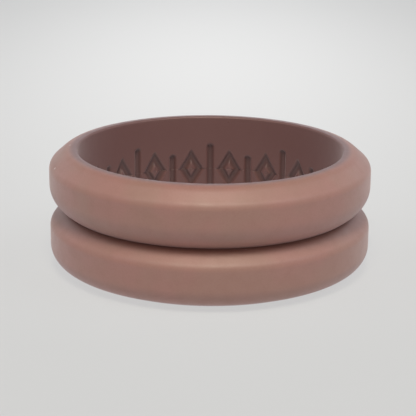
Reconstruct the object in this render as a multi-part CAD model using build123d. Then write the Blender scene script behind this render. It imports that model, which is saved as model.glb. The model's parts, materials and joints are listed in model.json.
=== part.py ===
from build123d import *
import os
from math import cos, radians, sin

# A stack of two soft silicone finger bands. The bands are separate mouldings that meet face to face, and the
# rounded edges where they meet make the V-shaped groove between them.
# Millimetres. +Z is the finger's axis, and the origin is the centre of the stack's underside.

# ---- driving dimensions ----
BORE_RADIUS = 9.1
WALL = 1.95
BAND_HEIGHT = 4.05
OUTER_RADIUS = BORE_RADIUS + WALL

# Each edge runs from the outer face to the flat land beside the bore. It has the land's outer radius, the drop
# between face and land, and the rounds where it meets the face, the land and the bore.
CROWN = {"land": 9.9, "drop": 1.0, "face_round": 0.75, "land_round": 1.2, "bore_round": 0.16}
OVER = {"land": 9.9, "drop": 0.95, "face_round": 0.7, "land_round": 1.0, "bore_round": 0.04}
UNDER = {"land": 9.95, "drop": 0.8, "face_round": 1.8, "land_round": 0.3, "bore_round": 0.04}
FOOT = {"land": 9.42, "drop": 0.68, "face_round": 1.3, "land_round": 0.2, "bore_round": 0.12}

# plain debossed trim on one side of the bore: open lozenges, with a bar between each two
MARK_DEPTH = 0.22
MARK_STROKE = 0.42
MARK_PITCH = 9.0
MARKS_EACH_SIDE = 8
LOZENGE_WIDTH = 1.7
LOZENGE_HEIGHT = 2.8
TALL_BAR_HEIGHT = 3.8
SHORT_BAR_HEIGHT = 2.2
TOOL_REACH = 0.6


def plain_band(lower_edge, upper_edge):
    """One band before its trim, standing on z = 0."""
    corners = [
        (BORE_RADIUS, 0),
        (lower_edge["land"], 0),
        (OUTER_RADIUS, lower_edge["drop"]),
        (OUTER_RADIUS, BAND_HEIGHT - upper_edge["drop"]),
        (upper_edge["land"], BAND_HEIGHT),
        (BORE_RADIUS, BAND_HEIGHT),
    ]
    rounds = [
        lower_edge["bore_round"],
        lower_edge["land_round"],
        lower_edge["face_round"],
        upper_edge["face_round"],
        upper_edge["land_round"],
        upper_edge["bore_round"],
    ]
    outline = FilletPolyline(*corners, radius=rounds, close=True)
    return revolve(Plane.XZ * make_face(outline), Axis.Z)


def lozenge():
    """Open diamond outline, one stroke wide."""
    half_width = LOZENGE_WIDTH / 2
    half_height = LOZENGE_HEIGHT / 2
    corners = [(half_width, 0), (0, half_height), (-half_width, 0), (0, -half_height)]
    outer = make_face(Polyline(*corners, close=True))
    return outer - offset(outer, amount=-MARK_STROKE, kind=Kind.INTERSECTION)


def bar(height):
    """Upright bar with round ends."""
    return SlotOverall(height, MARK_STROKE, rotation=90)


def marks():
    """Every debossed mark as a solid, centred on the height where the bands meet."""
    solids = []
    for step in range(-MARKS_EACH_SIDE, MARKS_EACH_SIDE + 1):
        if step % 2:
            outline = lozenge()
        elif step % 4:
            outline = bar(SHORT_BAR_HEIGHT)
        else:
            outline = bar(TALL_BAR_HEIGHT)
        bearing = radians(90 + step * MARK_PITCH)
        outward = Vector(cos(bearing), sin(bearing), 0)
        start = outward * (BORE_RADIUS - TOOL_REACH) + Vector(0, 0, BAND_HEIGHT)
        wall = Plane(origin=start, x_dir=(-outward.Y, outward.X, 0), z_dir=outward)
        solids.append(extrude(wall * outline, amount=2 * TOOL_REACH))
    floor = Cylinder(BORE_RADIUS + MARK_DEPTH, 2 * BAND_HEIGHT, align=(Align.CENTER, Align.CENTER, Align.MIN))
    return Part() + [floor & solid for solid in solids]


trim = marks()
lower_band = plain_band(FOOT, OVER) - trim
upper_band = Pos(0, 0, BAND_HEIGHT) * plain_band(UNDER, CROWN) - trim

os.makedirs("parts", exist_ok=True)
export_step(lower_band, "parts/lower_band.step")
export_step(upper_band, "parts/upper_band.step")
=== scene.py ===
import json
from math import cos, hypot, pi, radians, sin, tan

import bpy
import numpy as np
from mathutils import Matrix, Vector


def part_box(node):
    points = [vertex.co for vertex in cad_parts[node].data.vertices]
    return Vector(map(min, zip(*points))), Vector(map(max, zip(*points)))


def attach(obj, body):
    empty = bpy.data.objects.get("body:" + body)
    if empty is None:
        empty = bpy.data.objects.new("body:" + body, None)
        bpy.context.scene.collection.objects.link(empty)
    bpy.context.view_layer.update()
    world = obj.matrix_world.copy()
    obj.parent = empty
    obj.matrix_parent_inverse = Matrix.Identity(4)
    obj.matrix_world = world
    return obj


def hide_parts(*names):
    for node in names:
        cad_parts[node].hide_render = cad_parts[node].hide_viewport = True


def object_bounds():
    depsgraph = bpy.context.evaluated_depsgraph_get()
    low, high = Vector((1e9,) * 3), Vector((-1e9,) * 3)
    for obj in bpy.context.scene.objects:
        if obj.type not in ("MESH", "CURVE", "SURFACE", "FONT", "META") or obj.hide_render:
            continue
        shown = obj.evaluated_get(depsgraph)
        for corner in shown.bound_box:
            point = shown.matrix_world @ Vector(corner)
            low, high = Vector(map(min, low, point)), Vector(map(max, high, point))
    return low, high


# A stack of two alike finger bands in soft matte silicone, in metres. The frame gives the stack's place, its
# outer radius, its bore and its seam; the other sizes below are the section's own.
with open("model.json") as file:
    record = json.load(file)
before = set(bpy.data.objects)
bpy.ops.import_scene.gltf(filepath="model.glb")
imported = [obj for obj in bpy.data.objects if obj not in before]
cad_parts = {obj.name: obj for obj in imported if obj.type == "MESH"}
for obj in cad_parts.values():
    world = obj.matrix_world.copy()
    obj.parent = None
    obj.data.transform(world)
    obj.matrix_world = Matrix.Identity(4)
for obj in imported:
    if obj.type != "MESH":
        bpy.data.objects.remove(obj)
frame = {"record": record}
cad_low, cad_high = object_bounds()

MM = 0.001

# ---- the stack, from the frame ----
OUTER_RADIUS = (cad_high.x - cad_low.x) / 2
finger_bore = next(mount for mount in frame["record"]["mounts"] if mount["name"] == "finger_bore")
BORE_RADIUS = finger_bore["dims"]["r_mm"] * MM
BASE = cad_low.z
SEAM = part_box("lower_band")[1].z
BAND_HEIGHT = SEAM - BASE

# ---- the section, in millimetres: each edge's land radius, its drop from face to land, its rounds ----
CROWN = {"land": 9.9, "drop": 1.0, "face_round": 0.75, "land_round": 1.2, "bore_round": 0.16}
OVER = {"land": 9.9, "drop": 0.95, "face_round": 0.7, "land_round": 1.0, "bore_round": 0.04}
UNDER = {"land": 9.95, "drop": 0.8, "face_round": 1.8, "land_round": 0.3, "bore_round": 0.04}
FOOT = {"land": 9.42, "drop": 0.68, "face_round": 1.3, "land_round": 0.2, "bore_round": 0.12}

# ---- the debossed trim inside the bore ----
MARK_DEPTH = 0.22 * MM
MARK_STROKE = 0.42 * MM
MARK_SOFTNESS = 0.12 * MM
MARK_PITCH = radians(9.0)
MARKS_EACH_SIDE = 8
TRIM_MARGIN = 0.7 * MARK_PITCH
BORE_ROUND_REACH = 0.05 * MM
LOZENGE_WIDTH = 1.7 * MM
LOZENGE_HEIGHT = 2.8 * MM
TALL_BAR_HEIGHT = 3.8 * MM
SHORT_BAR_HEIGHT = 2.2 * MM

# ---- how finely the bands are divided ----
BORE_STEP = 0.056 * MM
PLAIN_STEP = 0.3 * MM
ARC_STEP = radians(6)
FEWEST_ARC_PIECES = 3
FINE_COLUMN = radians(0.4)
PLAIN_COLUMN = radians(1.5)

# ---- the silicone's colours, in linear colour, and how much of each tint shows ----
ROSE = (0.364, 0.172, 0.144)
TAUPE = (0.340, 0.176, 0.140)
SHADE = (0.295, 0.142, 0.112)
MOTTLE_TINT = 0.35
GRAIN_TINT = 0.22
DUST = (0.62, 0.52, 0.53)

# ---- painted shade, in millimetres: colour darkened around the groove's root, out from the bore's wall, and in the trim ----
# painted shade in the crease between the bands
GROOVE_PAINTED_SHADE = (0.270, 0.110, 0.080)
GROOVE_ROOT_RADIUS = 9.7
GROOVE_SHADE_FULL = 0.35
GROOVE_SHADE_END = 0.85
# painted shade on the bore's wall and the land beside it, where the ring shades its own inside
BORE_PAINTED_SHADE = (0.168, 0.070, 0.064)
BORE_SHADE_FULL = 0.25
BORE_SHADE_END = 0.70
# painted shade on the floor of the debossed trim
MARK_PAINTED_SHADE = (0.115, 0.048, 0.044)
MARK_SHADE_START = 0.04
MARK_SHADE_FULL = 0.16
MARK_SHADE_REACH = 2.4
MARK_SHADE_FADE = 0.1

# ---- its texture: features per millimetre, the part of the noise that is used, and each relief ----
CLOUD_SCALE = 0.28
MOTTLE_SCALE = 1.3
GRAIN_SCALE = 9.0
RIPPLE_SCALE = 0.9
CLOUD_RANGE = (0.36, 0.64)
MOTTLE_RANGE = (0.42, 0.85)
GRAIN_RANGE = (0.35, 0.75)
ROUGHNESS_RANGE = (0.3, 0.7)
DUST_CELL_SCALE = 0.42
DUST_RADIUS_IN_CELLS = 0.045
RIPPLE_HEIGHT = 0.02 * MM
GRAIN_HEIGHT = 0.006 * MM
DUST_HEIGHT = 0.02 * MM
SOFT_BUMP = 0.25
DUST_BUMP = 0.5

# ---- its roughness and sheen ----
SMOOTHEST = 0.48
ROUGHEST = 0.54
GRAIN_ROUGHNESS = 0.05
DUST_ROUGHNESS = 0.8
SPECULAR_LEVEL = 0.9
SHEEN_WEIGHT = 0.35
SHEEN_ROUGHNESS = 0.4
SHEEN_TINT = (1.0, 0.88, 0.94)

# ---- the floor: pale paper, which glows a little in a long pool under and behind the stack ----
PAPER = (0.13, 0.13, 0.13)
GLOW_MIDDLE = (0.715, 0.715, 0.715)
GLOW_EDGE = (0.505, 0.505, 0.505)
GLOW_PLACE = (0, 70 * MM, 0)
GLOW_REACH = (45 * MM, 110 * MM, 1)
PAPER_ROUGHNESS = 0.9
PAPER_SPECULAR_LEVEL = 0.1
FLOOR_HALF_SIDE = 80 * OUTER_RADIUS

# ---- the view ----
VIEW_ELEVATION = radians(16.69)
VIEW_DISTANCE = 9 * OUTER_RADIUS
VIEW_ROLL = radians(0.48)
VIEW_LENS = 123.7
VIEW_SHIFT = (-0.0043, -0.0112)
NEAREST_SEEN = 0.1 * VIEW_DISTANCE
FARTHEST_SEEN = 100 * VIEW_DISTANCE

# ---- the lights: elevation and bearing from the front towards +X in degrees, size, power and colour ----
LIGHT_DISTANCE = 20 * OUTER_RADIUS
WARM = (1, 0.93, 0.78)
COOL = (0.86, 0.94, 1)
SOFTBOXES = {
    "front_softbox": (65, 0, 0.07, 0.216, WARM),
    "low_front_softbox": (52, 0, 0.07, 0.070, WARM),
    "front_left_softbox": (60, -50, 0.06, 0.025, WARM),
    "front_right_softbox": (60, 50, 0.06, 0.031, WARM),
    "left_softbox": (45, -75, 0.15, 0.073, COOL),
    "right_softbox": (45, 75, 0.15, 0.108, COOL),
    "back_left_softbox": (25, -130, 0.12, 0.042, COOL),
    "back_right_softbox": (25, 130, 0.12, 0.050, COOL),
    "back_softbox": (18, 180, 0.12, 0.052, COOL),
}

# ---- the sky: its strength at the horizon, and the height on a unit sphere where it has faded out ----
SKY_HORIZON = 0.58
SKY_FADE = 0.55


# ---- shapes ----

def rounded_outline(corners, rounds, steps):
    """Closed outline with an arc at each corner, and each straight run after a corner cut into steps."""
    points = []
    count = len(corners)
    tangents = []
    arcs = []
    for i, corner in enumerate(corners):
        here = np.array(corner)
        back = np.array(corners[i - 1]) - here
        ahead = np.array(corners[(i + 1) % count]) - here
        back /= np.linalg.norm(back)
        ahead /= np.linalg.norm(ahead)
        half_angle = np.arccos(np.clip(back @ ahead, -1, 1)) / 2
        reach = rounds[i] / tan(half_angle)
        inward = (back + ahead) / np.linalg.norm(back + ahead)
        centre = here + inward * rounds[i] / sin(half_angle)
        start = here + back * reach
        end = here + ahead * reach
        first = np.arctan2(*(start - centre)[::-1])
        turn = (np.arctan2(*(end - centre)[::-1]) - first + pi) % (2 * pi) - pi
        pieces = max(FEWEST_ARC_PIECES, int(np.ceil(abs(turn) / ARC_STEP)))
        angles = first + turn * np.linspace(0, 1, pieces + 1)
        arcs.append(centre + rounds[i] * np.stack([np.cos(angles), np.sin(angles)], 1))
        tangents.append((start, end))
    for i in range(count):
        points.extend(arcs[i])
        run_start = tangents[i][1]
        run_end = tangents[(i + 1) % count][0]
        cuts = max(1, round(np.linalg.norm(run_end - run_start) / steps[i]))
        points.extend(run_start + (run_end - run_start) * k / cuts for k in range(1, cuts))
    return np.array(points)


def band_outline(lower_edge, upper_edge):
    """Half section of one band as (radius, height above its lower face)."""
    lower = {name: size * MM for name, size in lower_edge.items()}
    upper = {name: size * MM for name, size in upper_edge.items()}
    corners = [
        (BORE_RADIUS, 0),
        (lower["land"], 0),
        (OUTER_RADIUS, lower["drop"]),
        (OUTER_RADIUS, BAND_HEIGHT - upper["drop"]),
        (upper["land"], BAND_HEIGHT),
        (BORE_RADIUS, BAND_HEIGHT),
    ]
    rounds = [
        lower["bore_round"],
        lower["land_round"],
        lower["face_round"],
        upper["face_round"],
        upper["land_round"],
        upper["bore_round"],
    ]
    steps = [PLAIN_STEP] * (len(corners) - 1) + [BORE_STEP]
    return rounded_outline(corners, rounds, steps)


def stroke_cover(distance):
    """0 outside a debossed stroke and 1 on its floor, from the distance to the stroke's edge."""
    t = np.clip(0.5 - distance / (2 * MARK_SOFTNESS), 0, 1)
    return t * t * (3 - 2 * t)


def bar_distance(across, up, height):
    """Distance to an upright bar with round ends, negative inside."""
    end = height / 2 - MARK_STROKE / 2
    return np.hypot(across, np.maximum(np.abs(up) - end, 0)) - MARK_STROKE / 2


def lozenge_distance(across, up):
    """Distance to an open diamond's stroke, negative inside the stroke."""
    a = LOZENGE_WIDTH / 2
    b = LOZENGE_HEIGHT / 2
    outside = (np.abs(across) / a + np.abs(up) / b - 1) / hypot(1 / a, 1 / b)
    return np.abs(outside + MARK_STROKE / 2) - MARK_STROKE / 2


def mark_depth(bearing, height):
    """Depth of the debossed trim on the bore wall at a bearing from +Y and a height from the seam."""
    cover = np.zeros(np.broadcast(bearing, height).shape)
    for step in range(-MARKS_EACH_SIDE, MARKS_EACH_SIDE + 1):
        across = (bearing - step * MARK_PITCH) * BORE_RADIUS
        if step % 2:
            distance = lozenge_distance(across, height)
        elif step % 4:
            distance = bar_distance(across, height, SHORT_BAR_HEIGHT)
        else:
            distance = bar_distance(across, height, TALL_BAR_HEIGHT)
        cover = np.maximum(cover, stroke_cover(distance))
    return cover * MARK_DEPTH


def column_bearings():
    """Bearings from +Y of a band's columns of vertices, close together where the trim is."""
    reach = MARKS_EACH_SIDE * MARK_PITCH + TRIM_MARGIN
    fine = np.arange(-reach, reach, FINE_COLUMN)
    rest = 2 * pi - 2 * reach
    plain_count = round(rest / PLAIN_COLUMN)
    plain = reach + rest * np.arange(plain_count) / plain_count
    return np.concatenate([fine, plain])


def turned_band(name, bottom, lower_edge, upper_edge):
    """One band, turned about +Z from its outline, with its lower face at the given height."""
    outline = band_outline(lower_edge, upper_edge)
    bearings = column_bearings()
    radius = outline[:, 0]
    height = bottom + outline[:, 1]
    from_y = (bearings + pi) % (2 * pi) - pi
    on_wall = radius < BORE_RADIUS + BORE_ROUND_REACH
    pushed = np.where(on_wall[None, :], mark_depth(from_y[:, None], height[None, :] - SEAM), 0)
    reach = radius[None, :] + pushed
    x = -reach * np.sin(bearings)[:, None]
    y = reach * np.cos(bearings)[:, None]
    z = np.broadcast_to(height, reach.shape)
    rows = len(outline)
    columns = len(bearings)
    vertices = np.stack([x, y, z], 2).reshape(-1, 3)
    column, row = np.meshgrid(np.arange(columns), np.arange(rows), indexing="ij")
    next_column = (column + 1) % columns
    next_row = (row + 1) % rows
    quads = [
        column * rows + row,
        column * rows + next_row,
        next_column * rows + next_row,
        next_column * rows + row,
    ]
    faces = np.stack(quads, 2).reshape(-1, 4)
    mesh = bpy.data.meshes.new(name)
    mesh.from_pydata(vertices.tolist(), [], faces.tolist())
    mesh.polygons.foreach_set("use_smooth", [True] * len(mesh.polygons))
    mesh.validate()
    band = bpy.data.objects.new(name, mesh)
    bpy.context.collection.objects.link(band)
    return band


# ---- material building blocks ----

def new_material(name):
    material = bpy.data.materials.new(name)
    material.use_nodes = True
    return material, material.node_tree, material.node_tree.nodes["Principled BSDF"]


def object_point(tree, per):
    """Object coordinates, counted in the given length."""
    coordinates = tree.nodes.new("ShaderNodeTexCoord")
    scaled = tree.nodes.new("ShaderNodeVectorMath")
    scaled.operation = "SCALE"
    scaled.inputs["Scale"].default_value = 1 / per
    tree.links.new(coordinates.outputs["Object"], scaled.inputs[0])
    return scaled.outputs["Vector"]


def noise(tree, point, scale, detail):
    texture = tree.nodes.new("ShaderNodeTexNoise")
    texture.inputs["Scale"].default_value = scale
    texture.inputs["Detail"].default_value = detail
    tree.links.new(point, texture.inputs["Vector"])
    return texture.outputs["Fac"]


def remap(tree, value, start, end, low=0.0, high=1.0):
    """Value taken smoothly from low at start to high at end."""
    node = tree.nodes.new("ShaderNodeMapRange")
    node.interpolation_type = "SMOOTHSTEP"
    node.inputs["From Min"].default_value = start
    node.inputs["From Max"].default_value = end
    node.inputs["To Min"].default_value = low
    node.inputs["To Max"].default_value = high
    tree.links.new(value, node.inputs["Value"])
    return node.outputs["Result"]


def arithmetic(tree, operation, *values):
    node = tree.nodes.new("ShaderNodeMath")
    node.operation = operation
    for socket, value in zip(node.inputs, values):
        if isinstance(value, (int, float)):
            socket.default_value = value
        else:
            tree.links.new(value, socket)
    return node.outputs["Value"]


def blend(tree, amount, first, second):
    """Colour taken from first to second by the amount."""
    node = tree.nodes.new("ShaderNodeMix")
    node.data_type = "RGBA"
    tree.links.new(amount, node.inputs["Factor"])
    colour_sockets = [socket for socket in node.inputs if socket.type == "RGBA"]
    for socket, value in zip(colour_sockets, (first, second)):
        if isinstance(value, tuple):
            socket.default_value = (*value, 1)
        else:
            tree.links.new(value, socket)
    return next(socket for socket in node.outputs if socket.type == "RGBA")


def radius_of(tree, point):
    """Distance from the stack's axis."""
    flat = tree.nodes.new("ShaderNodeVectorMath")
    flat.operation = "MULTIPLY"
    flat.inputs[1].default_value = (1, 1, 0)
    tree.links.new(point, flat.inputs[0])
    length = tree.nodes.new("ShaderNodeVectorMath")
    length.operation = "LENGTH"
    tree.links.new(flat.outputs["Vector"], length.inputs[0])
    return length.outputs["Value"]


def bore_shade_cover(tree, point):
    """Painted shade on the bore: 1 on its wall and on the floor of its trim, fading out across the land
    beside it.
    """
    bore_radius = BORE_RADIUS / MM
    return remap(tree, radius_of(tree, point), bore_radius + BORE_SHADE_END, bore_radius + BORE_SHADE_FULL)


def height_from_seam(tree, point):
    place = tree.nodes.new("ShaderNodeSeparateXYZ")
    tree.links.new(point, place.inputs["Vector"])
    return arithmetic(tree, "SUBTRACT", place.outputs["Z"], SEAM / MM)


def mark_shade_cover(tree, point):
    """Painted shade in the trim: 1 on the floor of the trim, within the bore."""
    bore_radius = BORE_RADIUS / MM
    start = bore_radius + MARK_SHADE_START
    full = bore_radius + MARK_SHADE_FULL
    pushed_out = remap(tree, radius_of(tree, point), start, full)
    off_seam = arithmetic(tree, "ABSOLUTE", height_from_seam(tree, point))
    in_trim = remap(tree, off_seam, MARK_SHADE_REACH, MARK_SHADE_REACH - MARK_SHADE_FADE)
    return arithmetic(tree, "MULTIPLY", pushed_out, in_trim)


def groove_shade_cover(tree, point):
    """Painted shade at the groove's root: 1 at the root between the bands, and 0 out on its slopes."""
    from_root = tree.nodes.new("ShaderNodeCombineXYZ")
    outward = arithmetic(tree, "SUBTRACT", radius_of(tree, point), GROOVE_ROOT_RADIUS)
    tree.links.new(outward, from_root.inputs["X"])
    tree.links.new(height_from_seam(tree, point), from_root.inputs["Y"])
    length = tree.nodes.new("ShaderNodeVectorMath")
    length.operation = "LENGTH"
    tree.links.new(from_root.outputs["Vector"], length.inputs[0])
    return remap(tree, length.outputs["Value"], GROOVE_SHADE_END, GROOVE_SHADE_FULL)


def dust_cover(tree, point):
    """Sparse round specks: the middles of a few cells."""
    cells = tree.nodes.new("ShaderNodeTexVoronoi")
    cells.inputs["Scale"].default_value = DUST_CELL_SCALE
    tree.links.new(point, cells.inputs["Vector"])
    return remap(tree, cells.outputs["Distance"], DUST_RADIUS_IN_CELLS, DUST_RADIUS_IN_CELLS / 2)


def bumped(tree, height, strength, distance, under=None):
    node = tree.nodes.new("ShaderNodeBump")
    node.inputs["Strength"].default_value = strength
    node.inputs["Distance"].default_value = distance
    tree.links.new(height, node.inputs["Height"])
    if under is not None:
        tree.links.new(under, node.inputs["Normal"])
    return node.outputs["Normal"]


# ---- materials ----

def silicone_material():
    """Matte moulded silicone: clouded rose and taupe, fine grain, painted shade in bore, trim and groove,
    specks of dust.
    """
    material, tree, shader = new_material("matte_silicone")
    point = object_point(tree, MM)
    clouds = noise(tree, point, CLOUD_SCALE, detail=2)
    mottle = noise(tree, point, MOTTLE_SCALE, detail=3)
    grain = noise(tree, point, GRAIN_SCALE, detail=2)
    dust = dust_cover(tree, point)

    skin = blend(tree, remap(tree, clouds, *CLOUD_RANGE), ROSE, TAUPE)
    skin = blend(tree, remap(tree, mottle, *MOTTLE_RANGE, 0, MOTTLE_TINT), skin, SHADE)
    skin = blend(tree, remap(tree, grain, *GRAIN_RANGE, 0, GRAIN_TINT), skin, SHADE)
    # painted shade at the groove's root
    skin = blend(tree, groove_shade_cover(tree, point), skin, GROOVE_PAINTED_SHADE)
    skin = blend(tree, dust, skin, DUST)
    # painted shade on the bore's wall, its land and the floor of its trim
    painted_bore_shade = blend(tree, mark_shade_cover(tree, point), BORE_PAINTED_SHADE, MARK_PAINTED_SHADE)
    skin = blend(tree, bore_shade_cover(tree, point), skin, painted_bore_shade)
    tree.links.new(skin, shader.inputs["Base Color"])

    broad = remap(tree, mottle, *ROUGHNESS_RANGE, SMOOTHEST, ROUGHEST)
    fine = remap(tree, grain, *ROUGHNESS_RANGE, 0, GRAIN_ROUGHNESS)
    roughness = arithmetic(tree, "ADD", broad, fine)
    roughness = arithmetic(tree, "MAXIMUM", roughness, remap(tree, dust, 0, 1, 0, DUST_ROUGHNESS))
    tree.links.new(roughness, shader.inputs["Roughness"])
    shader.inputs["Specular IOR Level"].default_value = SPECULAR_LEVEL
    shader.inputs["Sheen Weight"].default_value = SHEEN_WEIGHT
    shader.inputs["Sheen Roughness"].default_value = SHEEN_ROUGHNESS
    shader.inputs["Sheen Tint"].default_value = (*SHEEN_TINT, 1)

    ripple = noise(tree, point, RIPPLE_SCALE, detail=1)
    normal = bumped(tree, ripple, SOFT_BUMP, RIPPLE_HEIGHT)
    normal = bumped(tree, grain, SOFT_BUMP, GRAIN_HEIGHT, normal)
    normal = bumped(tree, dust, DUST_BUMP, DUST_HEIGHT, normal)
    tree.links.new(normal, shader.inputs["Normal"])
    return material


def floor_material():
    """Pale paper that glows a little by itself, most at the glow's place."""
    material, tree, shader = new_material("pale_floor")
    shader.inputs["Base Color"].default_value = (*PAPER, 1)
    shader.inputs["Roughness"].default_value = PAPER_ROUGHNESS
    shader.inputs["Specular IOR Level"].default_value = PAPER_SPECULAR_LEVEL
    from_glow = tree.nodes.new("ShaderNodeMapping")
    from_glow.vector_type = "TEXTURE"
    from_glow.inputs["Location"].default_value = GLOW_PLACE
    from_glow.inputs["Scale"].default_value = GLOW_REACH
    tree.links.new(object_point(tree, 1), from_glow.inputs["Vector"])
    away = radius_of(tree, from_glow.outputs["Vector"])
    glow = blend(tree, remap(tree, away, 0, 1), GLOW_MIDDLE, GLOW_EDGE)
    tree.links.new(glow, shader.inputs["Emission Color"])
    shader.inputs["Emission Strength"].default_value = 1.0
    return material


# ---- stage ----

def make_floor():
    mesh = bpy.data.meshes.new("floor")
    half = FLOOR_HALF_SIDE
    corners = [(-half, -half, 0), (half, -half, 0), (half, half, 0), (-half, half, 0)]
    mesh.from_pydata(corners, [], [(0, 1, 2, 3)])
    floor = bpy.data.objects.new("floor", mesh)
    bpy.context.collection.objects.link(floor)
    mesh.materials.append(floor_material())


def make_camera():
    data = bpy.data.cameras.new("view")
    data.lens = VIEW_LENS
    data.shift_x, data.shift_y = VIEW_SHIFT
    data.clip_start = NEAREST_SEEN
    data.clip_end = FARTHEST_SEEN
    camera = bpy.data.objects.new("view", data)
    back = Vector((0, -cos(VIEW_ELEVATION), sin(VIEW_ELEVATION)))
    camera.location = Vector((0, 0, SEAM)) + back * VIEW_DISTANCE
    aim = (-back).to_track_quat("-Z", "Y").to_matrix()
    camera.rotation_euler = (aim @ Matrix.Rotation(VIEW_ROLL, 3, "Z")).to_euler()
    bpy.context.collection.objects.link(camera)
    bpy.context.scene.camera = camera


def softbox(name, elevation, bearing, size, power, colour):
    """A round softbox at the light distance, aimed at the middle of the stack."""
    data = bpy.data.lights.new(name, "AREA")
    data.shape = "DISK"
    data.size = size
    data.energy = power
    data.color = colour
    light = bpy.data.objects.new(name, data)
    flat = cos(radians(elevation))
    away = Vector((sin(radians(bearing)) * flat, -cos(radians(bearing)) * flat, sin(radians(elevation))))
    light.location = Vector((0, 0, SEAM)) + away * LIGHT_DISTANCE
    light.rotation_euler = (-away).to_track_quat("-Z", "Y").to_euler()
    bpy.context.collection.objects.link(light)


def make_lights():
    for name, settings in SOFTBOXES.items():
        softbox(name, *settings)
    world = bpy.data.worlds.new("studio")
    world.use_nodes = True
    tree = world.node_tree
    direction = tree.nodes.new("ShaderNodeTexCoord")
    parts = tree.nodes.new("ShaderNodeSeparateXYZ")
    tree.links.new(direction.outputs["Generated"], parts.inputs["Vector"])
    glow = remap(tree, parts.outputs["Z"], 0, SKY_FADE, SKY_HORIZON, 0)
    background = tree.nodes["Background"]
    background.inputs["Color"].default_value = (1, 1, 1, 1)
    tree.links.new(glow, background.inputs["Strength"])
    bpy.context.scene.world = world
    bpy.context.scene.view_settings.view_transform = "Standard"


# ---- the object ----

make_camera()
silicone = silicone_material()
for node, body, bottom, lower_edge, upper_edge in (
    ("lower_band", "lower", BASE, FOOT, OVER),
    ("upper_band", "upper", SEAM, UNDER, CROWN),
):
    band = turned_band("soft_" + node, bottom, lower_edge, upper_edge)
    band.data.materials.append(silicone)
    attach(band, body)
    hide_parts(node)
make_floor()
make_lights()
